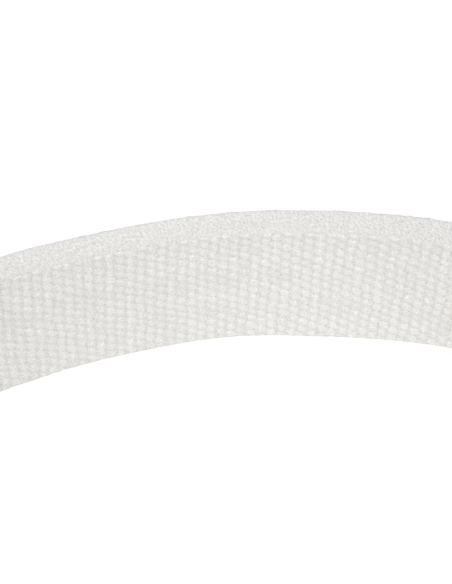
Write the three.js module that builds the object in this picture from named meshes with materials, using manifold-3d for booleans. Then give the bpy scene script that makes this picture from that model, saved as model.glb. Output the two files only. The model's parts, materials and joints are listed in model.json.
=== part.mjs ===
/**
 * Martial arts belt: one long strip of heavy white tubular webbing, standing on its edge, partly rolled up.
 *
 * A woven cotton cover runs round a flat filler core. Both ends are tucked in and closed with rows of
 * lockstitch, each row a needle thread on the outer face and a bobbin thread on the inner face.
 * The belt stands in a roll whose outer turn is let out into a wide open loop that ends in the free end.
 *
 * Units are millimetres and +Z is up. The origin is under the middle of the belt's outline, on the surface
 * that the lower edge stands on. The belt bends anywhere along its length: here it is cut into stretches
 * that turn about upright fold lines, with a narrow gap at each.
 */
import * as THREE from 'three';
import { mergeVertices } from 'three/addons/utils/BufferGeometryUtils.js';
import Module from 'manifold-3d';

const wasm = await Module();
wasm.setup();

// ---- Driving dimensions, in millimetres and degrees ----
const WIDTH = 40; // across the belt, upright here
const THICKNESS = 4.7;
const WALL = 1.2; // of the woven cover
const EDGE_BEVEL = 1.2; // softens the cover's two folded edges
const CLEARANCE = 0.3; // between the cover and what it holds
const FOLD_GAP = 1.2; // between two stretches, so that one can turn against the other

// The roll: a spiral that runs clockwise, seen from above, from its inner end outwards.
const ROLL_INNER_RADIUS = 16;
const ROLL_PITCH = 5.2; // from one turn's middle to the next
const ROLL_TURNS = 8;
const ROLL_STEPS_PER_TURN = 20;
const ROLL_LEAVES_AT = 236; // the direction, from the roll's axis, in which the outer turn leaves it

// The stretches that follow, as clockwise arcs of [radius, turn]. The first arc still belongs to the roll.
const STRETCHES = [
  { name: 'roll', arcs: [[88, 34]] },
  { name: 'left_sweep', arcs: [[88, 14], [120, 36], [150, 14]] },
  { name: 'back_arc', arcs: [[150, 100]] },
  { name: 'right_arc', arcs: [[150, 56]] },
  { name: 'free_end', arcs: [[210, 44]] },
];
const ARC_STEP = 6; // degrees between the sections of an arc

// The stitched ends: rows across the belt, sunk into the weave.
const ROW_COUNT = 3;
const FIRST_ROW = 5; // from the end of the belt
const ROW_SPACING = 4;
const THREAD_WIDTH = 0.8;
const THREAD_DEPTH = 0.5;
const THREAD_PROUD = 0.2; // of the face
const ROW_MARGIN = 2.5; // from each edge of the belt

const FABRIC = { color: 0xe7e4dd, roughness: 0.95, metalness: 0 };
const FILLER = { color: 0xd9d3c4, roughness: 0.95, metalness: 0 };
const THREAD = { color: 0xf0eee8, roughness: 0.75, metalness: 0 };

const radians = THREE.MathUtils.degToRad;
const direction = (angle) => new THREE.Vector2(Math.cos(angle), Math.sin(angle));

/** A place on the centreline in plan: its point and the angle of the face's outward normal. */
const station = (point, normal) => ({ point, normal });

/** The roll's spiral, from its inner end. Its last station is where the outer turn leaves the roll. */
function spiralStations() {
  const count = ROLL_TURNS * ROLL_STEPS_PER_TURN;
  const stations = [];
  for (let i = 0; i <= count; i += 1) {
    const turns = i / ROLL_STEPS_PER_TURN;
    const angle = radians(ROLL_LEAVES_AT + 360 * (ROLL_TURNS - turns));
    const radius = ROLL_INNER_RADIUS + ROLL_PITCH * turns;
    const lean = Math.atan(ROLL_PITCH / (2 * Math.PI * radius));
    stations.push(station(direction(angle).multiplyScalar(radius), angle + lean));
  }
  return stations;
}

/** One clockwise arc that carries on from a station. `trimStart` and `trimEnd` shorten it along its length. */
function arcStations(from, radius, turn, trimStart, trimEnd) {
  const centre = from.point.clone().addScaledVector(direction(from.normal), -radius);
  const first = from.normal - trimStart / radius;
  const last = from.normal - radians(turn) + trimEnd / radius;
  const steps = Math.max(1, Math.round(turn / ARC_STEP));
  return Array.from({ length: steps + 1 }, (_, i) => {
    const angle = first + ((last - first) * i) / steps;
    return station(direction(angle).multiplyScalar(radius).add(centre), angle);
  });
}

/** Every stretch's stations, with half a fold gap taken off each end that meets another stretch. */
function layOut() {
  let end = null;
  return STRETCHES.map(({ arcs }, index) => {
    const stations = index === 0 ? spiralStations() : [];
    if (index === 0) end = stations[stations.length - 1];
    arcs.forEach(([radius, turn], k) => {
      const meetsLast = index > 0 && k === 0;
      const meetsNext = index < STRETCHES.length - 1 && k === arcs.length - 1;
      const part = arcStations(end, radius, turn, meetsLast ? FOLD_GAP / 2 : 0, meetsNext ? FOLD_GAP / 2 : 0);
      stations.push(...(stations.length ? part.slice(1) : part));
      const centre = end.point.clone().addScaledVector(direction(end.normal), -radius);
      const angle = end.normal - radians(turn);
      end = station(direction(angle).multiplyScalar(radius).add(centre), angle);
    });
    return stations;
  });
}

/** A station moved along the centreline, forwards or backwards, on the straight line of its section. */
function moved({ point, normal }, distance) {
  return station(point.clone().addScaledVector(direction(normal - Math.PI / 2), distance), normal);
}

/** The plan outline of a band that follows the stations, `half` each side of the centreline. */
function bandShape(stations, half) {
  const side = (sign) => stations.map((s) => s.point.clone().addScaledVector(direction(s.normal), sign * half));
  return new THREE.Shape([...side(1), ...side(-1).reverse()]);
}

/** An upright band between two heights, with its long edges bevelled if asked. */
function band(stations, thickness, low, high, bevel = 0) {
  const geometry = new THREE.ExtrudeGeometry(bandShape(stations, thickness / 2), {
    depth: high - low - 2 * bevel,
    steps: 1,
    bevelEnabled: bevel > 0,
    bevelThickness: bevel,
    bevelSize: bevel,
    bevelOffset: -bevel,
    bevelSegments: 1,
  });
  return geometry.translate(0, 0, low + bevel);
}

/** A closed geometry as a solid for joining and cutting. */
function toSolid(geometry) {
  const bare = geometry.clone();
  bare.deleteAttribute('normal');
  bare.deleteAttribute('uv');
  const merged = mergeVertices(bare, 1e-4);
  return new wasm.Manifold(
    new wasm.Mesh({
      numProp: 3,
      vertProperties: new Float32Array(merged.attributes.position.array),
      triVerts: new Uint32Array(merged.index.array),
    }),
  );
}

/** The geometry of a cut solid. */
function toGeometry(solid) {
  const { vertProperties, triVerts } = solid.getMesh();
  const geometry = new THREE.BufferGeometry();
  geometry.setAttribute('position', new THREE.BufferAttribute(vertProperties, 3));
  geometry.setIndex(new THREE.BufferAttribute(triVerts, 1));
  geometry.computeVertexNormals();
  return geometry;
}

/** The stations with one end moved by a distance along the belt: positive is towards the free end. */
function withEndMoved(stations, atStart, distance) {
  const list = [...stations];
  const i = atStart ? 0 : list.length - 1;
  list[i] = moved(list[i], distance);
  return list;
}

/** The place on the stations' polyline at a distance from the belt's own end, as a section's line. */
function atDistance(stations, fromStart, distance) {
  const list = fromStart ? stations : [...stations].reverse();
  let left = distance;
  for (let i = 0; i + 1 < list.length; i += 1) {
    const run = list[i].point.distanceTo(list[i + 1].point);
    if (left <= run) {
      const point = list[i].point.clone().lerp(list[i + 1].point, left / run);
      const along = list[i + 1].point.clone().sub(list[i].point).multiplyScalar(fromStart ? 1 : -1);
      return station(point, along.angle() + Math.PI / 2);
    }
    left -= run;
  }
  throw new Error('the distance is longer than the stretch');
}

/** An upright bar across the belt's face at a place: `sign` 1 is the outer face and -1 the inner one. */
function rowBar(place, sign, width, bottom, top, margin) {
  const middle = THICKNESS / 2 + (bottom + top) / 2;
  const bar = new THREE.BoxGeometry(top - bottom, width, WIDTH - 2 * margin);
  bar.rotateZ(place.normal);
  const at = place.point.clone().addScaledVector(direction(place.normal), sign * middle);
  return bar.translate(at.x, at.y, WIDTH / 2);
}

/** The places of the stitch rows at one of the belt's ends. */
function rowPlaces(stations, fromStart) {
  return Array.from({ length: ROW_COUNT }, (_, i) => {
    return atDistance(stations, fromStart, FIRST_ROW + i * ROW_SPACING);
  });
}

/** The woven cover of a stretch: hollow, open at fold lines, closed and grooved for thread at the belt's ends. */
function coverGeometry(stations, closed) {
  let hollow = withEndMoved(stations, true, closed === 'start' ? WALL : -WALL);
  hollow = withEndMoved(hollow, false, closed === 'end' ? -WALL : WALL);
  const inside = band(hollow, THICKNESS - 2 * WALL, WALL, WIDTH - WALL);
  let solid = toSolid(band(stations, THICKNESS, 0, WIDTH, EDGE_BEVEL)).subtract(toSolid(inside));
  if (closed) {
    for (const place of rowPlaces(stations, closed === 'start')) {
      for (const sign of [1, -1]) {
        const low = THREAD_PROUD - THREAD_DEPTH - CLEARANCE;
        const groove = rowBar(place, sign, THREAD_WIDTH + 2 * CLEARANCE, low, 1, ROW_MARGIN - CLEARANCE);
        solid = solid.subtract(toSolid(groove));
      }
    }
  }
  return toGeometry(solid);
}

/** The filler core of a stretch, clear of the cover on every side. */
function coreGeometry(stations, closed) {
  let run = closed === 'start' ? withEndMoved(stations, true, WALL + CLEARANCE) : stations;
  run = closed === 'end' ? withEndMoved(run, false, -WALL - CLEARANCE) : run;
  const inset = WALL + CLEARANCE;
  return band(run, THICKNESS - 2 * inset, inset, WIDTH - inset);
}

function addMesh(group, name, geometry, finish) {
  const mesh = new THREE.Mesh(geometry, new THREE.MeshStandardMaterial(finish));
  mesh.name = name;
  group.add(mesh);
}

/** The needle and bobbin threads of the rows at one of the belt's ends. */
function addStitchRows(group, end, stations, fromStart) {
  rowPlaces(stations, fromStart).forEach((place, i) => {
    const low = THREAD_PROUD - THREAD_DEPTH;
    const bar = (sign) => rowBar(place, sign, THREAD_WIDTH, low, THREAD_PROUD, ROW_MARGIN);
    addMesh(group, `${end}_needle_thread_${i + 1}`, bar(1), THREAD);
    addMesh(group, `${end}_bobbin_thread_${i + 1}`, bar(-1), THREAD);
  });
}

function buildBelt() {
  const belt = new THREE.Group();
  const layout = layOut();
  layout.forEach((stations, i) => {
    const closed = { 0: 'start', [layout.length - 1]: 'end' }[i] ?? null;
    addMesh(belt, `cover_${STRETCHES[i].name}`, coverGeometry(stations, closed), FABRIC);
    addMesh(belt, `core_${STRETCHES[i].name}`, coreGeometry(stations, closed), FILLER);
  });
  addStitchRows(belt, 'inner_end', layout[0], true);
  addStitchRows(belt, 'outer_end', layout[layout.length - 1], false);

  // Stand the belt with the middle of its outline over the origin.
  const middle = new THREE.Box3().setFromObject(belt).getCenter(new THREE.Vector3());
  belt.position.set(-middle.x, -middle.y, 0);
  return belt;
}

export default buildBelt();
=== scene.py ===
"""A white woven martial arts belt, standing on its edge, partly rolled up.

The belt is a flat tube of heavy plain-weave webbing round a filler core. Its outer turn is let out into a
wide open loop. Each end of the tube is tucked in and closed with three rows of lockstitch. All sizes are in
metres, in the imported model's frame: +Z is up, across the belt's width, and the lower edge stands on z = 0.
"""

import json
import logging
import math
from dataclasses import dataclass, field
from enum import Enum

import bmesh
import bpy
import numpy as np
from mathutils import Matrix, Vector


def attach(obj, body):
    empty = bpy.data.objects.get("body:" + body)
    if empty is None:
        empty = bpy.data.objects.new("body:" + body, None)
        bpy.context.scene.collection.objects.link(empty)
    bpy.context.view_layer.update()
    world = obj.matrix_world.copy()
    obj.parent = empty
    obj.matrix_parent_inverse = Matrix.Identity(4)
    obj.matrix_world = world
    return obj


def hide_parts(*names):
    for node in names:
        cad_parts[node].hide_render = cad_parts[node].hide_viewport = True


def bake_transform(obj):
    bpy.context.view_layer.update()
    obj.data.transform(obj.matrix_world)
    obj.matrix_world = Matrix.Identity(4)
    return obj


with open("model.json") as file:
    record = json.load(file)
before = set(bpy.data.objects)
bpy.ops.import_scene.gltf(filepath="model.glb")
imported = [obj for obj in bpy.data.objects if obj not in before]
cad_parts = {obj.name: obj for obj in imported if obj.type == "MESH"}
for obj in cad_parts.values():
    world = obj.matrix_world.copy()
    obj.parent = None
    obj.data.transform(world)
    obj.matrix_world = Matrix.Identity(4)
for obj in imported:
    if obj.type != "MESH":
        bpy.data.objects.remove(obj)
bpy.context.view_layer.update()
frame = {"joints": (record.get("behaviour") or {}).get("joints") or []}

LOG = logging.getLogger("belt")
MM = 0.001
Relief = tuple[np.ndarray, np.ndarray, np.ndarray]  # grids of height, share of full height and tone
Feeds = dict[str | int, object]  # what feeds each input of a shader node: another node's socket, or a value


class Detail(Enum):
    """How finely one face of a stretch of webbing is modelled."""

    FINE = 4  # points for each warp yarn
    HIDDEN = 0  # a plain face that lies against the next turn of the roll


class Face(Enum):
    """A side of the strap. The value is its direction from the centreline."""

    OUTER = 1
    INNER = -1


def smoothstep(x: np.ndarray | float) -> np.ndarray:
    """Rises smoothly from 0 at x = 0 to 1 at x = 1."""
    t = np.clip(x, 0.0, 1.0)
    return t * t * (3.0 - 2.0 * t)


def lengths_round(n: np.ndarray, z: np.ndarray) -> np.ndarray:
    """The length round a closed outline at each of its points, and then back at the first."""
    gaps = np.hypot(np.diff(n, append=n[0]), np.diff(z, append=z[0]))
    return np.concatenate([[0.0], np.cumsum(gaps)])


def deselect_all() -> None:
    """Leaves no object selected, so that an operator acts on the new piece alone."""
    for obj in bpy.context.selected_objects:
        obj.select_set(False)


# The strap and the route that it follows --------------------


@dataclass(frozen=True)
class Strap:
    """Sizes of the woven tube and its core, across one section."""

    width: float = 40 * MM
    thickness: float = 4.7 * MM
    wall: float = 1.2 * MM
    core_clearance: float = 0.3 * MM
    outer_corner: float = 0.7 * MM  # radius of each edge's corner on the outer face
    inner_corner: float = 0.95 * MM  # and on the inner face, where the bent strap is squeezed
    recess: float = 0.20 * MM  # how far the weave's valleys lie below the edge's corners

    @property
    def half(self) -> float:
        """Half the thickness."""
        return self.thickness / 2

    def corner(self, face: Face) -> float:
        """The radius of the edges' corners on one face."""
        return self.outer_corner if face is Face.OUTER else self.inner_corner


@dataclass(frozen=True)
class Route:
    """The belt's centreline in plan, from the inner end of the roll to the free end."""

    roll_inner_radius: float = 16 * MM
    roll_pitch: float = 5.2 * MM
    roll_turns: int = 8
    roll_leaves_at: float = math.radians(236)
    arcs: tuple[tuple[float, float], ...] = (  # radius in mm and clockwise turn in degrees, in order
        (88, 34),
        (88, 14),
        (120, 36),
        (150, 14),
        (150, 100),
        (150, 56),
        (210, 44),
    )
    fold_after: tuple[int, ...] = (0, 3, 4, 5)  # the arcs that end at a fold line
    step: float = 0.2 * MM

    def table(self) -> "RouteTable":
        """Works the route out as points, placed so that its first fold line is on the frame's first joint.

        Returns:
            The route's points, normals and fold lengths.
        """
        turns = np.arange(0, self.roll_turns, self.step / (2 * math.pi * self.roll_inner_radius) / 2)
        turns = np.append(turns, self.roll_turns)
        angle = self.roll_leaves_at + 2 * math.pi * (self.roll_turns - turns)
        radius = self.roll_inner_radius + self.roll_pitch * turns
        points = [np.stack([radius * np.cos(angle), radius * np.sin(angle)], axis=1)]
        normals = [angle + np.arctan(self.roll_pitch / (2 * math.pi * radius))]
        fold_points = []
        for index, (arc_radius, turn) in enumerate(self.arcs):
            r = arc_radius * MM
            last, facing = points[-1][-1], normals[-1][-1]
            centre = last - r * np.array([math.cos(facing), math.sin(facing)])
            count = int(r * math.radians(turn) / self.step) + 2
            bearing = facing - np.linspace(0, math.radians(turn), count)[1:]
            points.append(centre + r * np.stack([np.cos(bearing), np.sin(bearing)], axis=1))
            normals.append(bearing)
            if index in self.fold_after:
                fold_points.append(sum(len(p) for p in points) - 1)
        xy, normal = np.concatenate(points), np.concatenate(normals)
        along = np.concatenate([[0.0], np.cumsum(np.linalg.norm(np.diff(xy, axis=0), axis=1))])
        shift = np.array(frame["joints"][0]["pos_m"][:2]) - xy[fold_points[0]]
        return RouteTable(along, xy + shift, normal, [float(along[i]) for i in fold_points])


@dataclass
class RouteTable:
    """The worked-out route: lengths along it, points, outward normals and the lengths at the fold lines."""

    along: np.ndarray
    xy: np.ndarray
    normal: np.ndarray
    folds: list[float]

    @property
    def length(self) -> float:
        """The belt's whole length."""
        return float(self.along[-1])

    def at(self, s: np.ndarray) -> tuple[np.ndarray, np.ndarray]:
        """Finds places on the route.

        Args:
            s: Lengths along the belt. Those past an end carry straight on.

        Returns:
            The points in plan, and the unit normals that point away from the roll's axis.
        """
        inside = np.clip(s, 0.0, self.length)
        x = np.interp(inside, self.along, self.xy[:, 0])
        y = np.interp(inside, self.along, self.xy[:, 1])
        bearing = np.interp(inside, self.along, self.normal)
        out = np.stack([np.cos(bearing), np.sin(bearing)], axis=-1)
        ahead = np.stack([np.sin(bearing), -np.cos(bearing)], axis=-1)
        return np.stack([x, y], axis=-1) + ahead * (s - inside)[..., None], out

    def grid(self, s: np.ndarray, n: np.ndarray, z: np.ndarray) -> np.ndarray:
        """Points in rings, one at each length s, at distances n outside the centreline and heights z."""
        point, out = self.at(s)
        xy = point[:, None] + out[:, None] * n[..., None]
        return np.concatenate([xy, np.broadcast_to(z, n.shape)[..., None]], axis=2)

    def place(self, s: float, z: float, n: float = 0.0) -> Vector:
        """The point at length s, height z and distance n outside the centreline."""
        point, out = self.at(np.array([s]))
        return Vector((*(point[0] + n * out[0]), z))


# The weave --------------------


class SoftNoise:
    """Smooth random values over (length, across), the same for every piece that shares a place."""

    MARGIN = 0.03  # how far it reaches past each end of the belt
    SPAN = 0.12  # how far it reaches across

    def __init__(self, seed: int, spacing: float, length: float) -> None:
        """Draws the lattice.

        Args:
            seed: The random seed.
            spacing: Distance between lattice points.
            length: Length of the belt that it covers.
        """
        self.spacing = spacing
        shape = (int((length + 2 * self.MARGIN) / spacing) + 3, int(self.SPAN / spacing) + 3)
        self.values = np.random.default_rng(seed).uniform(-1, 1, shape)

    def __call__(self, s: np.ndarray, w: np.ndarray) -> np.ndarray:
        """The noise, from -1 to 1, at lengths s and places w across, which broadcast together."""
        a = np.clip((s + self.MARGIN) / self.spacing, 0, self.values.shape[0] - 1.001)
        b = np.clip(w / self.spacing, 0, self.values.shape[1] - 1.001)
        i, j = np.floor(a).astype(int), np.floor(b).astype(int)
        p, q = smoothstep(a - i), smoothstep(b - j)
        v = self.values
        low = v[i, j] * (1 - p) + v[i + 1, j] * p
        high = v[i, j + 1] * (1 - p) + v[i + 1, j + 1] * p
        return low * (1 - q) + high * q


@dataclass(frozen=True)
class WeaveSpec:
    """Sizes of the plain weave's relief."""

    pick: float = 2.0 * MM  # along the belt, from one weft yarn to the next
    warp_yarns: int = 28  # across a face
    float_height: float = 0.31 * MM
    bow: float = 0.72  # how far a warp float has dipped at its ends, as a share of its height
    bow_power: float = 1.8  # 2 would be a parabola
    round_off: float = 0.68  # how far it has dipped along its sides
    round_power: float = 1.9
    tightness: float = 0.25  # how far bow grows and round_off shrinks, slowly, along the belt
    tight_at: float = 2030 * MM  # a length at which it is tightest
    tight_pitch: float = 600 * MM  # from one such place to the next
    skew: float = 0.24  # a warp float leans with its yarn's twist
    wander: float = 0.14  # how far a float strays from its place, as a share of its size
    uneven: float = 0.15  # how far floats differ in height
    edge_height: float = 0.85  # height of the floats beside an edge against the others'
    edge_yarns: float = 2.4  # how many yarns in from the edge they reach full height
    edge_stray: float = 0.45 * MM  # how far the line along which the floats die out wanders
    fade_yarns: float = 0.5  # how many yarns they die out over
    fade_start: float = 0.3  # where that stands at the edge's corner, from 0, flat, to 1
    back_shed: float = 0.92  # height of every second pick's floats against the others'
    swell: float = 0.10 * MM  # long soft ridges that run with the belt
    swell_pitch: float = 12.0 * MM
    swell_phase: float = -2.09
    swell_turn: float = 4.0  # how far their phase turns in a metre of belt
    fuzz: float = 0.02 * MM  # height of the finest unevenness
    slack: float = 0.06 * MM  # height of the broadest


class Weave:
    """The relief of warp-faced plain weave on both faces, and of the folded edges."""

    EDGE_RIDGE = (0.10 * MM, 1.05 * MM, 0.42 * MM)  # height, place across the edge and half width
    EDGE_DIP = (0.07 * MM, 0.30 * MM, 0.30 * MM)
    EDGE_PAINTED_SHADE = (  # place across the edge in mm, and how pale it is painted there, as painted shade that is darkest at the inner face's corner
        (-2.35, 0.04),
        (-1.4, 0.18),
        (-0.8, 0.29),
        (1.2, 0.29),
        (2.35, 0.2),
    )
    EDGE_FUZZ = 0.07 * MM  # height of the edge's fine unevenness
    EDGE_PATCHES = 0.2  # how far it varies in paleness
    RIB_HEIGHT = 0.03 * MM
    RIB_INSET = 0.7 * MM  # how far in from the edge's corners the ribs are at full height
    RIB_STRAY = 0.2  # how far they wander, in picks
    # painted shade that follows the ribs, darker in their dips
    RIB_SHADE = 0.02
    OTHER_FACE = 50 * MM  # added to the inner face's heights, so that the two faces stray differently
    SELVEDGE = 0.9 * MM  # from the strap's edge to its first warp yarn
    SPARE = 20  # picks drawn before the belt's inner end, and twice as many past its other end

    def __init__(self, strap: Strap, spec: WeaveSpec, length: float) -> None:
        """Draws the random values once for the whole belt."""
        self.strap, self.spec = strap, spec
        self.yarn = (strap.width - 2 * self.SELVEDGE) / spec.warp_yarns
        picks = int(length / spec.pick) + 3 * self.SPARE
        draw = np.random.default_rng(11)
        self.height_of = draw.normal(0, 1, (2, picks, spec.warp_yarns + 4))
        self.tone_of = draw.uniform(-1, 1, (2, picks, spec.warp_yarns + 4))
        self.wander_s = SoftNoise(21, 5 * MM, length)
        self.wander_z = SoftNoise(22, 4 * MM, length)
        self.fine = SoftNoise(23, 0.5 * MM, length)
        self.broad = SoftNoise(24, 23 * MM, length)

    def on_face(self, s: np.ndarray, z: np.ndarray, face: Face) -> Relief:
        """Relief of the floats on a face.

        Args:
            s: Lengths along the belt, as a column.
            z: Heights across it, as a row.
            face: Which face.

        Returns:
            The relief above the valleys in metres, the share of full height and a random tone, each a grid.
        """
        spec, side = self.spec, 0 if face is Face.OUTER else 1
        shifted = z + side * self.OTHER_FACE
        pick = s / spec.pick + spec.wander * self.wander_s(s, shifted)
        column = np.floor(pick)
        u = pick - column - 0.5
        parity = (column + side) % 2
        across = (z - self.SELVEDGE) / (2 * self.yarn) + 0.5 * parity
        across = across + spec.wander * self.wander_z(s, shifted)
        row = np.floor(across)
        v = across - row - 0.5
        u = u + spec.skew * v
        tension = np.cos(2 * math.pi * (s - spec.tight_at) / spec.tight_pitch)
        bow = spec.bow * (1 + spec.tightness * tension)
        round_off = spec.round_off * (1 - spec.tightness * tension)
        fall = bow * np.abs(2 * u) ** spec.bow_power + round_off * np.abs(2 * v) ** spec.round_power
        share = np.clip(1 - fall, 0, 1)
        i = np.clip(column.astype(int) + self.SPARE, 0, self.height_of.shape[1] - 1)
        j = np.clip(row.astype(int) + 1, 0, self.height_of.shape[2] - 1)
        height = 1 + spec.uneven * np.clip(self.height_of[side][i, j], -2, 2)
        height = height * np.where(parity > 0.5, spec.back_shed, 1.0)
        near_edge = np.minimum(z, self.strap.width - z) - self.strap.corner(face)
        near_edge = near_edge + spec.edge_stray * self.wander_z(s, shifted * 0.5)
        rise = smoothstep(near_edge / (spec.edge_yarns * self.yarn) - 0.1)
        height = height * (spec.edge_height + (1 - spec.edge_height) * rise)
        phase = 2 * math.pi * z / spec.swell_pitch + spec.swell_phase + s * spec.swell_turn
        swell = spec.swell * np.sin(phase)
        rough = spec.fuzz * self.fine(s, shifted) + spec.slack * self.broad(s, shifted)
        fade = smoothstep(near_edge / (spec.fade_yarns * self.yarn) + spec.fade_start)
        relief = fade * (spec.float_height * share * height + swell + rough)
        return relief, share * height, self.tone_of[side][i, j]

    def on_edge(self, s: np.ndarray, n: np.ndarray, w: np.ndarray) -> Relief:
        """Relief of a folded edge, where the weft turns round: a ridge, a shallow dip and faint ribs.

        Args:
            s: Lengths along the belt, as a column.
            n: Places across the edge, towards the outer face, as a row.
            w: Places round the section, as a row.

        Returns:
            The relief in metres, the share of full height and a random tone, each a grid.
        """
        high, at, wide = self.EDGE_RIDGE
        low, dip_at, dip_wide = self.EDGE_DIP
        relief = high * np.exp(-(((n - at) / wide) ** 2)) - low * np.exp(-(((n - dip_at) / dip_wide) ** 2))
        ribs = np.cos(2 * math.pi * (s / self.spec.pick + self.RIB_STRAY * self.wander_s(s, w)))
        flat = smoothstep((self.strap.half - np.abs(n)) / self.RIB_INSET)
        relief = relief + flat * self.RIB_HEIGHT * ribs + self.EDGE_FUZZ * self.fine(s, w)
        # painted shade: the edge's colour is darkened towards its corners, with faint shade along the ribs
        # and random pale patches
        place, edge_shade = (np.array(c) for c in zip(*self.EDGE_PAINTED_SHADE))
        share = np.interp(n, place * MM, edge_shade) + self.EDGE_PATCHES * self.fine(s, w) + self.RIB_SHADE * ribs
        return relief, share, self.fine(s * 0.5, w)


@dataclass
class Section:
    """One closed outline across the strap, from the middle of its lower edge, up the outer face.

    n and z are each point's place, out_n and out_z its outward direction, face is 1, -1 or 0 for the outer
    face, the inner face and an edge, and w is the length round the outline, one longer than the rest.
    """

    n: np.ndarray
    z: np.ndarray
    out_n: np.ndarray
    out_z: np.ndarray
    face: np.ndarray
    w: np.ndarray

    @staticmethod
    def of_strap(strap: Strap, weave: Weave, outer: Detail, inner: Detail) -> "Section":
        """Builds the outline at the detail that each face needs.

        Args:
            strap: The strap's sizes.
            weave: The weave, for the warp yarns' places.
            outer: Detail of the outer face.
            inner: Detail of the inner face.

        Returns:
            The outline.
        """
        half, top = strap.half, strap.width
        corner_points, plain_steps, edge_gap = 5, 8, 0.33 * MM

        def side(face: Face, detail: Detail) -> list[tuple[float, float, float, float, int]]:
            """One face with its two corners, from its lower corner up."""
            r, sign = strap.corner(face), face.value
            count = weave.spec.warp_yarns * detail.value if detail is Detail.FINE else plain_steps
            angles = np.linspace(-math.pi / 2, 0, corner_points + 1)[:-1]
            turns = [(math.cos(a), math.sin(a)) for a in angles]
            low = [(half - r + r * c, r + r * d, c, d, 0) for c, d in turns]
            high = [(n, top - z, out_n, -out_z, 0) for n, z, out_n, out_z, _ in low[::-1]]
            flat = [(half, z, 1.0, 0.0, sign) for z in np.linspace(r, top - r, count + 1)]
            return [(sign * n, z, sign * out_n, out_z, f) for n, z, out_n, out_z, f in low + flat + high]

        from_n, to_n = half - strap.outer_corner, strap.inner_corner - half
        between = np.linspace(from_n, to_n, round((from_n - to_n) / edge_gap) + 1)[1:-1]
        middle = int(np.argmin(np.abs(between)))
        low_edge = [(n, 0.0, 0.0, -1.0, 0) for n in between]
        rows = low_edge[: middle + 1][::-1] + side(Face.OUTER, outer)
        rows += [(n, top, 0.0, 1.0, 0) for n in between]
        rows += side(Face.INNER, inner)[::-1] + low_edge[middle + 1 :][::-1]
        n, z, out_n, out_z, face = (np.array(c, float) for c in zip(*rows))
        return Section(n, z, out_n, out_z, face, lengths_round(n, z))


# Meshes from rows of points --------------------

PLAIN_SHARE = 0.5  # the share of full float height given to cloth that is modelled flat


def add_map(mesh: bpy.types.Mesh, uv: np.ndarray, weave: np.ndarray, tone: np.ndarray) -> None:
    """Gives a mesh the strap map and the weave and tone attributes that a ClothFinish reads."""
    layer = mesh.uv_layers.new(name="strap")
    layer.data.foreach_set("uv", uv.astype(np.float32).ravel())
    for label, values in (("weave", weave), ("tone", tone)):
        made = mesh.attributes.new(label, "FLOAT", "POINT")
        made.data.foreach_set("value", values.astype(np.float32))


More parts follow.
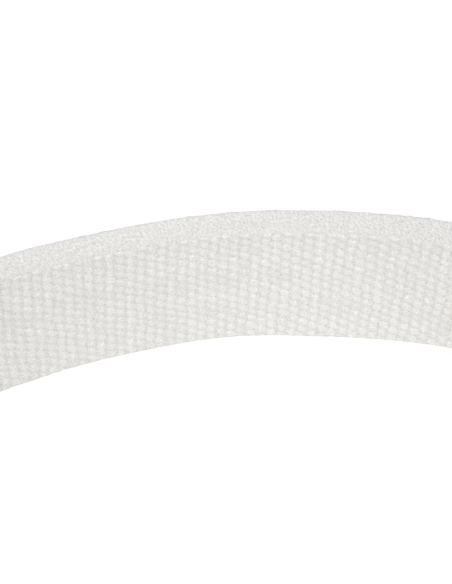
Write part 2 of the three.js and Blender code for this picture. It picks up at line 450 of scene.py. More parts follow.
@dataclass
class MeshParts:
    """Collects a mesh's points, faces, map coordinates and point attributes."""

    points: list[np.ndarray] = field(default_factory=list)
    faces: list[list[int]] = field(default_factory=list)
    uvs: list[np.ndarray] = field(default_factory=list)
    weave: list[np.ndarray] = field(default_factory=list)
    tone: list[np.ndarray] = field(default_factory=list)
    caps: list[int] = field(default_factory=list)

    @property
    def count(self) -> int:
        """How many points it holds."""
        return sum(len(p) for p in self.points)

    def add_tube(
        self,
        grid: np.ndarray,
        s: np.ndarray,
        w: np.ndarray,
        weave: np.ndarray | float = PLAIN_SHARE,
        tone: np.ndarray | float = 0.0,
        inward: bool = False,
    ) -> tuple[np.ndarray, np.ndarray]:
        """Adds a tube of closed rings.

        Args:
            grid: Points, as (rings, points in a ring, 3).
            s: The length along the belt of each ring, for the map.
            w: The place round the ring of each point, one longer than the ring.
            weave: Each point's share of full float height, or one for all.
            tone: Each point's random tone, or one for all.
            inward: Whether its faces look inwards, as a cavity's do.

        Returns:
            The point numbers of the first ring and the last.
        """
        rings, ring = grid.shape[:2]
        first = self.count
        index = first + np.arange(rings * ring).reshape(rings, ring)
        nxt = np.roll(index, -1, axis=1)
        quads = np.stack([index[:-1], index[1:], nxt[1:], nxt[:-1]], axis=-1).reshape(-1, 4)
        low = np.broadcast_to(s[:-1, None], (rings - 1, ring))
        high = np.broadcast_to(s[1:, None], (rings - 1, ring))
        start, end = np.broadcast_to(w[:-1], low.shape), np.broadcast_to(w[1:], low.shape)
        corners = [(low, start), (high, start), (high, end), (low, end)]
        uv = np.stack([np.stack(c, axis=-1) for c in corners], axis=2).reshape(-1, 4, 2)
        if inward:
            quads, uv = quads[:, ::-1], uv[:, ::-1]
        self.points.append(grid.reshape(-1, 3))
        self.weave.append(np.broadcast_to(weave, (rings, ring)).ravel())
        self.tone.append(np.broadcast_to(tone, (rings, ring)).ravel())
        self.faces += quads.tolist()
        self.uvs.append(uv.reshape(-1, 2))
        return index[0], index[-1]

    def add_ring_cap(self, outer: np.ndarray, inner: np.ndarray, flip: bool) -> None:
        """Closes the ring between two loops of points, which run the same way round.

        Args:
            outer: Point numbers of the outer loop.
            inner: Point numbers of the inner loop.
            flip: Whether to turn the faces round.
        """
        points = np.concatenate(self.points)
        gap = np.linalg.norm(points[outer][None] - points[inner][:, None], axis=2)
        nearest = gap.argmin(axis=1)
        start = int(nearest.argmin())
        inner, nearest = np.roll(inner, -start), np.roll(nearest, -start)
        outer = np.roll(outer, -nearest[0])
        nearest = (nearest - nearest[0]) % len(outer)
        change = [(a + b) // 2 for a, b in zip(nearest, np.append(nearest[1:], len(outer)))]
        made, k = [], 0
        for j in range(len(outer)):
            a, b = outer[j], outer[(j + 1) % len(outer)]
            made.append([a, b, inner[k % len(inner)]])
            while k < len(inner) and j + 1 > change[k]:
                made.append([b, inner[(k + 1) % len(inner)], inner[k % len(inner)]])
                k += 1
        self._add_flat(made, flip)

    def add_fan(self, loop: np.ndarray, flip: bool) -> None:
        """Closes a short loop of points with triangles that share its first point."""
        self._add_flat([[loop[0], loop[i], loop[i + 1]] for i in range(1, len(loop) - 1)], flip)

    def _add_flat(self, triangles: list[list[int]], flip: bool) -> None:
        """Adds triangles whose map coordinates don't matter, because nothing shows them."""
        self.caps += range(len(self.faces), len(self.faces) + len(triangles))
        self.faces += [[int(i) for i in (t[::-1] if flip else t)] for t in triangles]
        self.uvs.append(np.zeros((3 * len(triangles), 2)))

    def build(self, name: str, merge: bool) -> bpy.types.Object:
        """Makes the object.

        Args:
            name: The piece's name.
            merge: Whether points that fall together are joined.

        Returns:
            The object, smooth shaded, with its faces outwards.
        """
        mesh = bpy.data.meshes.new(name)
        mesh.from_pydata(np.concatenate(self.points).tolist(), [], self.faces)
        add_map(mesh, *(np.concatenate(rows) for rows in (self.uvs, self.weave, self.tone)))
        solid = bmesh.new()
        solid.from_mesh(mesh)
        solid.faces.ensure_lookup_table()
        caps = {solid.faces[i] for i in self.caps}
        for edge in {e for f in caps for e in f.edges}:
            edge.smooth = all(f in caps for f in edge.link_faces)
        if merge:
            bmesh.ops.remove_doubles(solid, verts=solid.verts, dist=1e-7)
            bmesh.ops.dissolve_degenerate(solid, edges=solid.edges, dist=1e-8)
        if solid.calc_volume(signed=True) < 0:
            bmesh.ops.reverse_faces(solid, faces=solid.faces)
        solid.to_mesh(mesh)
        solid.free()
        mesh.polygons.foreach_set("use_smooth", [True] * len(mesh.polygons))  # leaves the caps' rims sharp
        obj = bpy.data.objects.new(name, mesh)
        bpy.context.scene.collection.objects.link(obj)
        return obj


# Finishes --------------------


class Graph:
    """Short ways to add and link shader nodes in one tree."""

    def __init__(self, tree: bpy.types.NodeTree) -> None:
        """Empties the tree."""
        self.tree = tree
        tree.nodes.clear()

    def node(self, kind: str, inputs: Feeds | None = None, **settings: object) -> bpy.types.Node:
        """Adds a node.

        Args:
            kind: Blender's name for it.
            inputs: What feeds its inputs.
            settings: Its properties.

        Returns:
            The node.
        """
        made = self.tree.nodes.new(kind)
        for key, value in settings.items():
            setattr(made, key, value)
        for key, value in (inputs or {}).items():
            if isinstance(value, bpy.types.NodeSocket):
                self.tree.links.new(value, made.inputs[key])
            else:
                made.inputs[key].default_value = value
        return made

    def math(self, operation: str, *values: object) -> bpy.types.NodeSocket:
        """Adds a math node on sockets or numbers, and returns its value."""
        return self.node("ShaderNodeMath", dict(enumerate(values)), operation=operation).outputs[0]

    def blend_colour(self, share: object, a: object, b: object, mode: str = "MIX") -> bpy.types.NodeSocket:
        """Adds a colour mix of a and b by share, each a socket or a value, and returns its result."""
        made = self.node("ShaderNodeMix", {0: share, 6: a, 7: b}, data_type="RGBA", blend_type=mode)
        return made.outputs[2]


STREAK_LEAN = -0.85
STREAK_LENGTH = 3.6  # of a fibre streak, in streak widths
NAP = 0.36 * MM


def yarn_fibres() -> bpy.types.NodeTree:
    """The group for twisted cotton: streaks that lean across a yarn, and a loose nap over them.

    Returns:
        A group from map coordinates in metres to a height and a shade, both about 0 to 1.
    """
    name = "yarn_fibres"
    if name in bpy.data.node_groups:
        return bpy.data.node_groups[name]
    tree = bpy.data.node_groups.new(name, "ShaderNodeTree")
    for label, way, kind in (
        ("Place", "INPUT", "Vector"),
        ("Streak Width", "INPUT", "Float"),
        ("Height", "OUTPUT", "Float"),
        ("Shade", "OUTPUT", "Float"),
    ):
        tree.interface.new_socket(label, in_out=way, socket_type=f"NodeSocket{kind}")
    g = Graph(tree)
    given = g.node("NodeGroupInput")
    place, width = given.outputs["Place"], given.outputs["Streak Width"]
    turn = g.node("ShaderNodeVectorRotate", {"Vector": place, "Angle": STREAK_LEAN}, rotation_type="Z_AXIS")
    length = g.math("MULTIPLY", width, STREAK_LENGTH)
    spread = g.node("ShaderNodeCombineXYZ", {"X": length, "Y": width, "Z": 1.0})
    unit = g.node("ShaderNodeVectorMath", {0: turn.outputs[0], 1: spread.outputs[0]}, operation="DIVIDE")
    streaks_at = {"Vector": unit.outputs[0], "Scale": 1.0, "Detail": 2.0}
    nap_at = {"Vector": place, "Scale": 1 / NAP, "Detail": 3.0}
    streaks = g.node("ShaderNodeTexNoise", streaks_at, noise_dimensions="2D")
    nap = g.node("ShaderNodeTexNoise", nap_at, noise_dimensions="2D")
    mixed = {}
    for output, streak_share in (("Height", 0.65), ("Shade", 0.55)):
        napped = g.math("MULTIPLY", nap.outputs["Fac"], 1 - streak_share)
        mixed[output] = g.math("MULTIPLY_ADD", streaks.outputs["Fac"], streak_share, napped)
    g.node("NodeGroupOutput", mixed)
    return tree


@dataclass(frozen=True)
class ClothFinish:
    """Undyed or bleached cotton: the crest colour on the floats, darkened towards the valley colour in the
    weave's valleys as painted shade.
    """

    name: str
    crest: tuple[float, float, float]
    valley_shade: tuple[float, float, float]
    roughness: float = 0.92
    sheen: float = 0.25
    streak: float = 0.22 * MM  # width of a fibre streak
    relief: float = 0.22 * MM  # height of the fibres
    fibre_shade: float = 0.54  # how far the fibres' painted shade darkens and lightens the colour, following their bumps
    tone: float = 0.012  # how far floats differ in colour
    crest_share: float = 0.88  # the share of full height at which the crest's colour is reached
    polish: float = 0.12  # how much smoother the tops of the fibres are than the gaps
    specular: float = 0.25
    bump: float = 0.8

    def material(self) -> bpy.types.Material:
        """Builds the material, or gives the one already built.

        Returns:
            The material, which reads the strap map and the weave and tone attributes.
        """
        if self.name in bpy.data.materials:
            return bpy.data.materials[self.name]
        made = bpy.data.materials.new(self.name)
        made.use_nodes = True
        g = Graph(made.node_tree)
        place = g.node("ShaderNodeUVMap", uv_map="strap").outputs["UV"]
        weave = g.node("ShaderNodeAttribute", attribute_name="weave").outputs["Fac"]
        tone = g.node("ShaderNodeAttribute", attribute_name="tone").outputs["Fac"]
        fibres = g.node(
            "ShaderNodeGroup", {"Place": place, "Streak Width": self.streak}, node_tree=yarn_fibres()
        )
        height = fibres.outputs["Height"]
        # painted shade: where the weave attribute, the share of full float height, is low, the colour is
        # darkened towards the valley colour
        ramp = {"Value": weave, "From Max": self.crest_share}
        high = g.node("ShaderNodeMapRange", ramp, interpolation_type="SMOOTHSTEP")
        colour = g.blend_colour(high.outputs[0], (*self.valley_shade, 1), (*self.crest, 1))
        # painted shade: the fibres' shade follows the same noise as their bump, so the gaps between fibres
        # are darker
        centred = g.math("SUBTRACT", fibres.outputs["Shade"], 0.5)
        shade = g.math("MULTIPLY_ADD", centred, 2 * self.fibre_shade, 1.0)
        shade = g.math("MULTIPLY_ADD", tone, self.tone, shade)
        grey = g.node("ShaderNodeCombineColor", {0: shade, 1: shade, 2: shade})
        bump = g.node(
            "ShaderNodeBump", {"Distance": self.relief, "Strength": self.bump, "Height": height}
        )
        duller = self.roughness + self.polish / 2
        feeds = {
            "Base Color": g.blend_colour(1.0, colour, grey.outputs[0], "MULTIPLY"),
            "Roughness": g.math("MULTIPLY_ADD", height, -self.polish, duller),
            "Normal": bump.outputs[0],
            "Sheen Weight": self.sheen,
            "Specular IOR Level": self.specular,
        }
        shader = g.node("ShaderNodeBsdfPrincipled", feeds)
        g.node("ShaderNodeOutputMaterial", {"Surface": shader.outputs[0]})
        return made


@dataclass(frozen=True)
class Finishes:
    """The belt's finishes."""

    # Each finish's valley colour is painted shade for the weave's valleys.
    webbing: ClothFinish = ClothFinish(
        "bleached_webbing", crest=(0.822, 0.812, 0.794), valley_shade=(0.715, 0.706, 0.689)
    )
    filler: ClothFinish = ClothFinish("raw_filler", crest=(0.70, 0.67, 0.60), valley_shade=(0.60, 0.57, 0.50))
    thread: ClothFinish = ClothFinish(
        "sewing_thread",
        crest=(0.88, 0.88, 0.87),
        valley_shade=(0.80, 0.80, 0.79),
        roughness=0.55,
        sheen=0.1,
        streak=0.12 * MM,
        relief=0.04 * MM,
        fibre_shade=0.05,
    )


# The belt's sub-assemblies --------------------


@dataclass(frozen=True)
class StitchPlan:
    """The rows of lockstitch that close each end."""

    first_row: float = 5 * MM  # from the end of the belt
    row_spacing: float = 4 * MM
    rows: int = 3
    margin: float = 2.5 * MM  # from the strap's edges to the ends of a row
    pitch: float = 3.3 * MM
    stitch: float = 3.0 * MM  # its length
    thread: float = 0.6 * MM  # its thickness
    proud: float = 0.05 * MM  # how far a stitch stands above the face
    groove: float = 0.42 * MM  # how deep a row pulls the weave in
    groove_half_width: float = 0.80 * MM
    groove_end: float = 1.2 * MM  # how far the ends of a groove take to run out
    ripple: float = 0.25  # how far a row's pull varies each way from its mean, from stitch to gap

    def distances(self) -> list[float]:
        """How far each row is from the end of the belt."""
        return [self.first_row + i * self.row_spacing for i in range(self.rows)]

    def heights(self, width: float) -> np.ndarray:
        """The middle height of every stitch in a row across the belt."""
        span = width - 2 * self.margin
        count = int(span / self.pitch)
        return width / 2 + (np.arange(count) - (count - 1) / 2) * self.pitch

    def pressed(self, s: np.ndarray, z: np.ndarray, ends: tuple[float, float], width: float) -> np.ndarray:
        """How strongly the weave is pulled down by the rows, from 0 to 1, on a grid of s and z."""
        total = np.zeros(np.broadcast(s, z).shape)
        from_end = np.minimum(z, width - z) - self.margin
        inside = smoothstep(from_end / self.groove_end + 0.5)
        tug = 1 - self.ripple + self.ripple * np.cos(2 * math.pi * ((z - width / 2) / self.pitch + 0.5))
        for end, sign in zip(ends, (1, -1)):
            for d in self.distances():
                total += np.exp(-(((s - end - sign * d) / self.groove_half_width) ** 2)) * inside * tug
        return np.clip(total, 0, 1)


@dataclass(frozen=True)
class Slouch:
    """How a soft strap strays from its route: its upper and lower edges drift outwards or inwards."""

    start: float
    places: tuple[tuple[float, float, float], ...] = (  # length past the start, upper and lower drift in mm
        (10, 0.0, 0.0),
        (45, 0.4, -0.8),
        (65, 0.4, -1.0),
        (82, -0.2, -0.7),
        (108, 0.0, 0.0),
        (125, -0.2, -0.4),
        (150, -0.2, 0.0),
        (190, 0.0, 0.0),
    )

    def shift(self, s: np.ndarray, z: np.ndarray, width: float) -> np.ndarray:
        """How far points at lengths s and heights z move outwards."""
        along, upper, lower = (np.array(c, float) * MM for c in zip(*self.places))
        x = np.clip(s - self.start, along[0], along[-1])
        i = np.clip(np.searchsorted(along, x, side="right") - 1, 0, len(along) - 2)
        t = smoothstep((x - along[i]) / (along[i + 1] - along[i]))
        high = upper[i] * (1 - t) + upper[i + 1] * t
        low = lower[i] * (1 - t) + lower[i + 1] * t
        share = np.clip(z / width, 0, 1)
        return high * share + low * (1 - share)


@dataclass(frozen=True)
class Stretch:
    """A length of belt that is one piece: it rides on one body, or lies across the fold between two."""

    name: str
    start: float
    end: float
    bodies: tuple[str, ...]
    fold: float = 0.0
    outer: Detail = Detail.FINE
    inner: Detail = Detail.FINE
    steps_per_pick: int = 4
    closed_start: bool = False
    closed_end: bool = False


def lay_section(
    route: RouteTable, slouch: Slouch, width: float, s: np.ndarray, n: np.ndarray, z: np.ndarray
) -> tuple[np.ndarray, np.ndarray]:
    """Carries a plain closed section along the route.

    Args:
        route: The belt's route.
        slouch: How the strap strays from it.
        width: The strap's width.
        s: Lengths along the belt.
        n: The section's places across the strap.
        z: The section's heights.

    Returns:
        The grid of points, and the places round the section for the map.
    """
    across = n[None] + slouch.shift(s[:, None], z[None], width)
    return route.grid(s, across, z), lengths_round(n, z)


@dataclass
class WovenCover:
    """The woven tube, cut into stretches that meet edge to edge."""

    strap: Strap
    route: RouteTable
    weave: Weave
    stitches: StitchPlan
    slouch: Slouch
    finish: ClothFinish
    lip: tuple[tuple[float, float], ...] = (  # of a tucked-in end: how far back and how far inwards, in mm
        (0.95, 0.0),
        (0.50, 0.12),
        (0.15, 0.42),
        (0.0, 0.90),
        (0.15, 1.35),
        (0.60, 1.70),
        (1.50, 1.95),
        (2.60, 2.10),
    )
    cavity_back: float = 3.2 * MM  # the tube's hollow starts this far from a closed end
    hollow_step: float = 3 * MM
    least_gap: float = 0.05 * MM  # between rings on the map, where a lip goes straight in
    recess_run: float = 2.0 * MM  # from an edge's corner to the weave's full recess
    flattened: float = 0.8  # how much of the relief a tucked-in end loses
    pressed_flat: float = 0.85  # and the cloth under a row of stitches
    pressed_level: float = 0.3  # how much of the weave's recess that cloth loses
    pressed_shade: float = 0.5  # and how much painted shade darkens it
    end_rounding: float = 0.8  # how far a tucked-in end is drawn in in height, against its thickness

    def surface(self, s: np.ndarray, section: Section, inset: np.ndarray) -> tuple[np.ndarray, ...]:
        """Points of the outer surface.

        Args:
            s: Length along the belt of each ring.
            section: The outline across the strap.
            inset: How far each ring is drawn in towards the strap's middle.

        Returns:
            The grid of points, the float height shares and the tones.
        """
        column, strap = s[:, None], self.strap
        ends = (0.0, self.route.length)
        press = self.stitches.pressed(column, section.z[None], ends, strap.width)
        relief, share, tone = self.weave.on_edge(column, section.n[None], section.w[None, :-1])
        base = np.zeros(len(section.n))
        for face in Face:
            on = section.face == face.value
            found = self.weave.on_face(column, section.z[None, on], face)
            relief[:, on], share[:, on], tone[:, on] = found
            near = np.minimum(section.z[on], strap.width - section.z[on]) - strap.corner(face)
            base[on] = -strap.recess * smoothstep(near / self.recess_run)
        keep = 1 - smoothstep(inset[:, None] / strap.wall) * self.flattened
        relief = relief * keep * (1 - self.pressed_flat * press)
        relief = base[None] * (1 - press * self.pressed_level) + relief
        relief = relief - self.stitches.groove * press * (section.face != 0)[None]
        n = section.n[None] + section.out_n[None] * relief
        z = section.z[None] + section.out_z[None] * relief
        n = np.sign(n) * np.maximum(np.abs(n) - inset[:, None], 0)
        lowest = inset[:, None] * self.end_rounding
        z = np.clip(z, lowest, strap.width - lowest)
        n = n + self.slouch.shift(column, z, strap.width)
        # painted shade: the cloth pulled down under the rows of stitches is painted darker
        return self.route.grid(s, n, z), share * (1 - self.pressed_shade * press), tone

    def cavity(self, s: np.ndarray) -> tuple[np.ndarray, np.ndarray]:
        """Points of the hollow's wall, and the places round it for the map."""
        strap, rows = self.strap, 5
        half = strap.half - strap.wall
        z = np.linspace(strap.wall, strap.width - strap.wall, rows)
        n = np.concatenate([np.full(rows, half), np.full(rows, -half)])
        z = np.concatenate([z, z[::-1]])
        return lay_section(self.route, self.slouch, strap.width, s, n, z)

    def rings(self, stretch: Stretch) -> tuple[np.ndarray, np.ndarray]:
        """Places the rings of one stretch. A closed end has the lip's rings as its last ones.

        Args:
            stretch: Which stretch.

        Returns:
            The length of each ring, and how far it is drawn in towards the strap's middle.
        """
        step = self.weave.spec.pick / stretch.steps_per_pick
        rings = np.arange(round((stretch.end - stretch.start) / step) + 1) * step + stretch.start
        back, inwards = (np.array(c) * MM for c in zip(*self.lip))
        end = self.route.length
        if stretch.closed_start:
            rings = np.concatenate([back[::-1], rings[rings > back[0]]])
        if stretch.closed_end:
            rings = np.concatenate([rings[rings < end - back[0]], end - back])
        inset = np.zeros(len(rings))
        if stretch.closed_start:
            inset[: len(back)] = inwards[::-1]
        if stretch.closed_end:
            inset[-len(back) :] = inwards
        return rings, inset

    def build(self, stretch: Stretch) -> bpy.types.Object:
        """Builds one stretch of the tube.

        Args:
            stretch: Which stretch, and how fine.

        Returns:
            The finished piece, riding on its body when it has only one.
        """
        section = Section.of_strap(self.strap, self.weave, stretch.outer, stretch.inner)
        rings, inset = self.rings(stretch)
        grid, share, tone = self.surface(rings, section, inset)
        gaps = np.maximum(np.abs(np.diff(rings)), self.least_gap)
        mapped = np.concatenate([[0.0], np.cumsum(gaps)]) + rings[0]
        hollow_from = self.cavity_back if stretch.closed_start else stretch.start
        hollow_to = self.route.length - self.cavity_back if stretch.closed_end else stretch.end
        hollow_rings = max(2, round((hollow_to - hollow_from) / self.hollow_step) + 1)
        hollow_s = np.linspace(hollow_from, hollow_to, hollow_rings)
        wall, round_wall = self.cavity(hollow_s)
        ends = ((0, stretch.closed_start), (-1, stretch.closed_end))
        for ring, closed in ends:
            if closed:  # its last ring is drawn together on the centreline
                grid[ring, :, :2] = self.route.at(rings[[ring]])[0]
        parts = MeshParts()
        loops = parts.add_tube(grid, mapped, section.w, share, tone)
        inner_loops = parts.add_tube(wall, hollow_s, round_wall, inward=True)
        for ring, closed in ends:
            if closed:
                parts.add_fan(inner_loops[ring], ring != 0)
            else:
                parts.add_ring_cap(loops[ring], inner_loops[ring], ring == 0)
        piece = parts.build(stretch.name, stretch.closed_start or stretch.closed_end)
        piece.data.materials.append(self.finish.material())
        ride_or_blend(piece, stretch)
        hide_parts(*(f"cover_{n}" for n in stretch.bodies))
        return piece


@dataclass
class FillerCore:
    """The flat strip inside the tube."""

    strap: Strap
    route: RouteTable
    finish: ClothFinish
    slouch: Slouch
    step: float = 4 * MM
    end_gap: float = 4 * MM  # between the core and a closed end of the tube
    soft_share: float = 0.5  # of half its thickness that its rounded edges take
    face_points: tuple[float, float] = (14 * MM, 26 * MM)  # heights of the points within its faces

    def build(self, stretch: Stretch) -> bpy.types.Object:
        """Builds the core of one stretch, as a plain woven strip with rounded long edges.

        Args:
            stretch: The cover's stretch that it lies in.

        Returns:
            The finished piece, riding on its body when it has only one.
        """
        strap = self.strap
        inset = strap.wall + strap.core_clearance
        half, low, high = strap.half - inset, inset, strap.width - inset
        soft = self.soft_share * half
        n = np.array([half, half, half, half, soft, -soft, -half, -half, -half, -half, -soft, soft])
        z = np.array([low + soft, *self.face_points, high - soft, high, high])
        z = np.concatenate([z, strap.width - z])
        start = stretch.start + (self.end_gap if stretch.closed_start else 0)
        end = stretch.end - (self.end_gap if stretch.closed_end else 0)
        s = np.linspace(start, end, max(2, round((end - start) / self.step) + 1))
        grid, w = lay_section(self.route, self.slouch, strap.width, s, n, z)
        parts = MeshParts()
        first, last = parts.add_tube(grid, s, w)
        parts.add_fan(first, True)
        parts.add_fan(last, False)
        piece = parts.build(stretch.name.replace("woven_cover", "filler_core"), False)
        piece.data.materials.append(self.finish.material())
        ride_or_blend(piece, stretch)
        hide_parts(*(f"core_{n}" for n in stretch.bodies))
        return piece


def ride_or_blend(piece: bpy.types.Object, stretch: Stretch) -> None:
    """Makes a piece follow its body, or, when it lies across the fold between two, bakes its transform into
    its mesh and leaves it unattached.

    Args:
        piece: The piece.
        stretch: The stretch that it is.
    """
    if len(stretch.bodies) == 1:
        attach(piece, stretch.bodies[0])
        return
    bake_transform(piece)


@dataclass
class StitchedEnd:
    """The rows of lockstitch at one end of the belt."""

    strap: Strap
    route: RouteTable
    plan: StitchPlan
    finish: ClothFinish
    end: str  # inner_end or outer_end
    body: str
    sides: int = 12  # points round the thread
    cuts: int = 7  # along a stitch
    taper: float = 0.45  # how much of its thickness a stitch loses at its ends
    dip: float = 1.1  # how far its ends dip into the cloth, in threads
    lean: float = 0.03  # how far stitches differ in lean
    stray: float = 0.04 * MM  # and in place along the row
    paleness: float = 0.8  # as a float's share of full height

    def model_stitch(self) -> bpy.types.Object:
        """Models one stitch, upright at the origin: a thread that dips into the cloth at both ends.

        Returns:
            The stitch, with its outward side towards +X.
        """
        plan = self.plan
        deselect_all()
        bpy.ops.mesh.primitive_cylinder_add(
            vertices=self.sides, radius=plan.thread / 2, depth=plan.stitch, end_fill_type="NGON"
        )
        stitch = bpy.context.active_object
        bpy.ops.object.mode_set(mode="EDIT")
        for i in range(1, self.cuts + 1):
            height = plan.stitch * (i / (self.cuts + 1) - 0.5)
            bpy.ops.mesh.select_all(action="SELECT")
            bpy.ops.mesh.bisect(plane_co=(0, 0, height), plane_no=(0, 0, 1))
        bpy.ops.mesh.select_all(action="DESELECT")
        bpy.ops.object.mode_set(mode="OBJECT")
        for level in sorted({round(v.co.z, 6) for v in stitch.data.vertices}):
            share = abs(level) / (plan.stitch / 2)
            for vertex in stitch.data.vertices:
                vertex.select = abs(vertex.co.z - level) < 1e-5
            bpy.ops.object.mode_set(mode="EDIT")
            thin = 1 - self.taper * share**4
            centre = (0, 0, level)
            bpy.ops.transform.resize(value=(thin, thin, 1), center_override=centre)
            bpy.ops.transform.translate(value=(-self.dip * plan.thread * share**3, 0, 0))
            bpy.ops.mesh.select_all(action="DESELECT")
            bpy.ops.object.mode_set(mode="OBJECT")
        bpy.ops.object.shade_smooth()
        return stitch

    def build(self) -> list[bpy.types.Object]:
        """Lays the stitches in rows on both faces.

        Returns:
            One piece for each row and face.
        """
        model = self.model_stitch()
        made = []
        for row, distance in enumerate(self.plan.distances(), start=1):
            s = distance if self.end == "inner_end" else self.route.length - distance
            for face, thread in ((Face.OUTER, "needle"), (Face.INNER, "bobbin")):
                name = f"{self.end}_{thread}_thread_row_{row}"
                piece = self.lay_row(model, s, face, name)
                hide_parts(f"{self.end}_{thread}_thread_{row}")
                made.append(piece)
        bpy.data.objects.remove(model)
        return made

    def lay_row(self, model: bpy.types.Object, s: float, face: Face, name: str) -> bpy.types.Object:
        """Copies the stitch up one row across the belt.

        Args:
            model: The stitch to copy.
            s: The row's length along the belt.
            face: The face that it lies on.
            name: The finished piece's name.

        Returns:
            The row, as one piece.
        """
        _, out = self.route.at(np.array([s]))
        bearing = math.atan2(out[0, 1], out[0, 0]) + (0 if face is Face.OUTER else math.pi)
        depth = self.strap.half + self.plan.proud - self.plan.thread / 2
        draw = np.random.default_rng(int(s * 1e5) + face.value + 1)
        deselect_all()
        copies = []
        for z in self.plan.heights(self.strap.width):
            copy = bpy.data.objects.new(name, model.data.copy())
            bpy.context.scene.collection.objects.link(copy)
            lean = float(draw.normal(0, self.lean))
            spot = self.route.place(s, z + float(draw.normal(0, self.stray)), face.value * depth)
            turn = Matrix.Rotation(bearing, 4, "Z") @ Matrix.Rotation(lean, 4, "X")
            copy.matrix_world = Matrix.Translation(spot) @ turn
            copy.select_set(True)
            copies.append(copy)
        bpy.context.view_layer.objects.active = copies[0]
        bpy.ops.object.join()
        row = bpy.context.active_object
        bpy.ops.object.transform_apply(location=True, rotation=True, scale=True)
        row.name = name
        self.dress(row)
        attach(row, self.body)
        return row

    def dress(self, row: bpy.types.Object) -> None:
        """Gives a row its map and finish."""
        mesh = row.data
        for layer in list(mesh.uv_layers):
            mesh.uv_layers.remove(layer)
        places = [mesh.vertices[loop.vertex_index].co for loop in mesh.loops]
        count = len(mesh.vertices)
        uv = np.array([(p.z, p.x) for p in places])
        add_map(mesh, uv, np.full(count, self.paleness), np.zeros(count))
        mesh.materials.clear()
        mesh.materials.append(self.finish.material())


# The whole belt --------------------


class Belt:
    """The belt: its cover, core and stitched ends, laid along one route."""

    def __init__(self) -> None:
        """Works out the route and the stretches."""
        self.strap, self.route, self.spec = Strap(), Route().table(), WeaveSpec()
        self.weave = Weave(self.strap, self.spec, self.route.length)
        self.stitches, self.finishes = StitchPlan(), Finishes()
        self.slouch = Slouch(start=self.route.folds[1])

    def stretches(self) -> list[Stretch]:
        """The pieces that the belt is built in, from the inner end of the roll to the free end.

        Returns:
            The stretches, whose ends fall between two picks.
        """
        folds, length = self.route.folds, self.route.length
        hidden = Detail.HIDDEN

        def between_picks(s: float) -> float:
            """The nearest length that is a whole number of picks."""
            return round(s / self.spec.pick) * self.spec.pick

        cuts = {  # where one piece ends and the next begins
            "inner": 112 * MM,
            "outer": 1480 * MM,
            "outer_half": 1666 * MM,
            "leaves": folds[0] - 52 * MM,
            "left": (folds[0] + folds[1]) / 2,
            "back": folds[1] + 52 * MM,
            "back_end": folds[1] + 193 * MM,
            "right": (folds[2] + folds[3]) / 2,
            "tip": folds[3] + 80 * MM,
        }
        at = {"start": 0.0, **{name: between_picks(s) for name, s in cuts.items()}, "end": length}

        def part(name: str, start: str, end: str, bodies: tuple[str, ...], **rest: object) -> Stretch:
            """One stretch, from one cut to another."""
            return Stretch(f"woven_cover_{name}", at[start], at[end], bodies, **rest)

        roll, left, back, right, free = "roll", "left_sweep", "back_arc", "right_arc", "free_end"
        return [
            part("roll_inner_turn", "start", "inner", (roll,), outer=hidden, closed_start=True),
            part("roll_middle", "inner", "outer", (roll,), outer=hidden, inner=hidden, steps_per_pick=2),
            part("roll_outer_turn_1", "outer", "outer_half", (roll,), inner=hidden),
            part("roll_outer_turn_2", "outer_half", "leaves", (roll,), inner=hidden),
            part("roll_to_left", "leaves", "left", (roll, left), fold=folds[0]),
            part("left_to_back", "left", "back", (left, back), fold=folds[1]),
            part("back", "back", "back_end", (back,), steps_per_pick=5),
            part("back_to_right", "back_end", "right", (back, right), fold=folds[2]),
            part("right_to_end", "right", "tip", (right, free), fold=folds[3]),
            part("free_end", "tip", "end", (free,), closed_end=True),
        ]

    def build(self) -> list[bpy.types.Object]:
        """Builds every piece.

        Returns:
            The pieces.
        """
        strap, route, finishes = self.strap, self.route, self.finishes
        cover = WovenCover(strap, route, self.weave, self.stitches, self.slouch, finishes.webbing)
        core = FillerCore(strap, route, finishes.filler, self.slouch)
        made = []
        for stretch in self.stretches():
            made += [cover.build(stretch), core.build(stretch)]
            LOG.info("%s: %d faces", stretch.name, len(made[-2].data.polygons))
        for end, body in (("inner_end", "roll"), ("outer_end", "free_end")):
            rows = StitchedEnd(strap, route, self.stitches, finishes.thread, end, body).build()
            LOG.info("%s: %d rows of stitches", end, len(rows))
            made += rows
        return made


# The studio --------------------


@dataclass(frozen=True)
class SoftLamp:
    """A round soft lamp: its power in watts, its place from what it lights, its size and its spread."""

    power: float
    offset: tuple[float, float, float]
    size: float
    spread: float
    colour: tuple[float, float, float] = (1.0, 1.0, 1.0)

    def hang(self, name: str, aim: Vector) -> None:
        """Hangs the lamp, facing the point aim."""
        lamp = bpy.data.lights.new(name, "AREA")
        lamp.shape, lamp.size, lamp.energy, lamp.spread = "DISK", self.size, self.power, self.spread
        lamp.color = self.colour
        hung = bpy.data.objects.new(name, lamp)
        bpy.context.scene.collection.objects.link(hung)
        hung.location = aim + Vector(self.offset)
        hung.rotation_mode = "QUATERNION"
        hung.rotation_quaternion = (-Vector(self.offset)).to_track_quat("-Z", "Y")


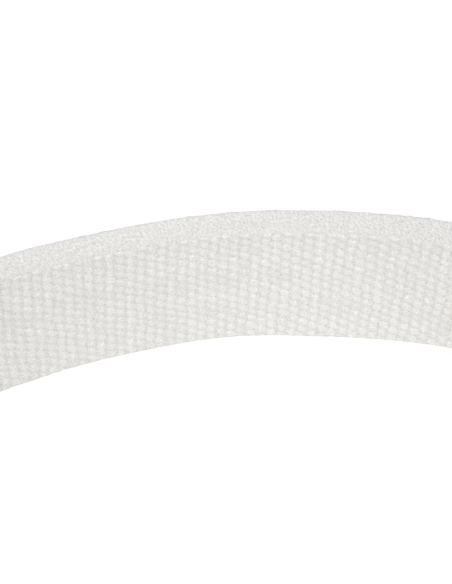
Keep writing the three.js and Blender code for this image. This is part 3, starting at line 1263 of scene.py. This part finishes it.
@dataclass(frozen=True)
class Studio:
    """The pale floor, the soft light and the camera."""

    elevation: float = math.radians(60)
    roll: float = math.radians(2.6)
    distance: float = 552.6 * MM
    focal_length: float = 180.0
    loop_radius: float = 150 * MM  # of the loop's back arc, whose centre is the loop's middle
    aim_from_loop: tuple[float, float, float] = (-21.8 * MM, 145.1 * MM, 20 * MM)
    lit_from_loop: tuple[float, float, float] = (-18 * MM, 146 * MM, 20 * MM)
    ambient: float = 0.70
    surround: tuple[float, float, float] = (0.985, 0.99, 1.0)
    paper: float = 0.85  # how much of the light the floor gives back
    paper_seen: float = 1.02  # how bright the camera sees it, just past white
    key: SoftLamp = SoftLamp(0.060, (-0.10, -0.47, 0.51), 0.18, math.radians(24), (1.0, 0.99, 0.965))
    back: SoftLamp = SoftLamp(2.2, (0.2, 0.85, 0.22), 0.4, math.radians(180))
    floor_size: float = 6.0
    floor_drop: float = 0.2 * MM

    def loop_middle(self, route: RouteTable) -> Vector:
        """The centre of the open loop's back arc."""
        s = (route.folds[1] + route.folds[2]) / 2
        return route.place(s, 0.0, -self.loop_radius)

    def place_camera(self, route: RouteTable) -> None:
        """Sets the camera looking down on the back of the open loop, from inside it."""
        data = bpy.data.cameras.new("camera")
        data.lens, data.sensor_width, data.dof.use_dof = self.focal_length, 36.0, False
        data.clip_start, data.clip_end = 0.01, 50.0
        camera = bpy.data.objects.new("camera", data)
        bpy.context.scene.collection.objects.link(camera)
        aim = self.loop_middle(route) + Vector(self.aim_from_loop)
        back = Vector((0, -math.cos(self.elevation), math.sin(self.elevation)))
        camera.location = aim + back * self.distance
        level = (-back).to_track_quat("-Z", "Y")
        camera.rotation_mode = "QUATERNION"
        camera.rotation_quaternion = level @ Matrix.Rotation(self.roll, 4, "Z").to_quaternion()
        bpy.context.scene.camera = camera

    def light(self, route: RouteTable) -> None:
        """Adds an even pale surround and two soft lamps, one on the seen side and one behind."""
        world = bpy.data.worlds.new("surround")
        world.use_nodes = True
        g = Graph(world.node_tree)
        seen = g.node("ShaderNodeLightPath").outputs["Is Camera Ray"]
        strength = g.math("MULTIPLY_ADD", seen, 1.0 - self.ambient, self.ambient)
        background = g.node("ShaderNodeBackground", {"Color": (*self.surround, 1), "Strength": strength})
        g.node("ShaderNodeOutputWorld", {"Surface": background.outputs[0]})
        bpy.context.scene.world = world
        lit = self.loop_middle(route) + Vector(self.lit_from_loop)
        for name, lamp in (("key_lamp", self.key), ("back_lamp", self.back)):
            lamp.hang(name, lit)

    def lay_floor(self) -> None:
        """Lays the floor, which the camera sees as plain white."""
        deselect_all()
        bpy.ops.mesh.primitive_plane_add(size=self.floor_size, location=(0, 0, -self.floor_drop))
        floor = bpy.context.active_object
        floor.name = "floor"
        made = bpy.data.materials.new("pale_floor")
        made.use_nodes = True
        g = Graph(made.node_tree)
        seen = g.node("ShaderNodeLightPath").outputs["Is Camera Ray"]
        paper = g.node("ShaderNodeBsdfDiffuse", {"Color": (self.paper, self.paper, self.paper, 1)})
        glow = g.node("ShaderNodeEmission", {"Color": (1, 1, 1, 1), "Strength": self.paper_seen})
        mix = g.node("ShaderNodeMixShader", {0: seen, 1: paper.outputs[0], 2: glow.outputs[0]})
        g.node("ShaderNodeOutputMaterial", {"Surface": mix.outputs[0]})
        floor.data.materials.append(made)

    def set_up(self, route: RouteTable) -> None:
        """Builds the whole studio."""
        self.place_camera(route)
        self.light(route)
        self.lay_floor()
        bpy.context.scene.view_settings.view_transform = "Standard"


def main() -> None:
    """Builds the studio and the belt."""
    logging.basicConfig(level=logging.INFO, format="%(name)s %(message)s")
    belt = Belt()
    Studio().set_up(belt.route)
    pieces = belt.build()
    LOG.info("%d pieces", len(pieces))


if __name__ == "__main__":
    main()
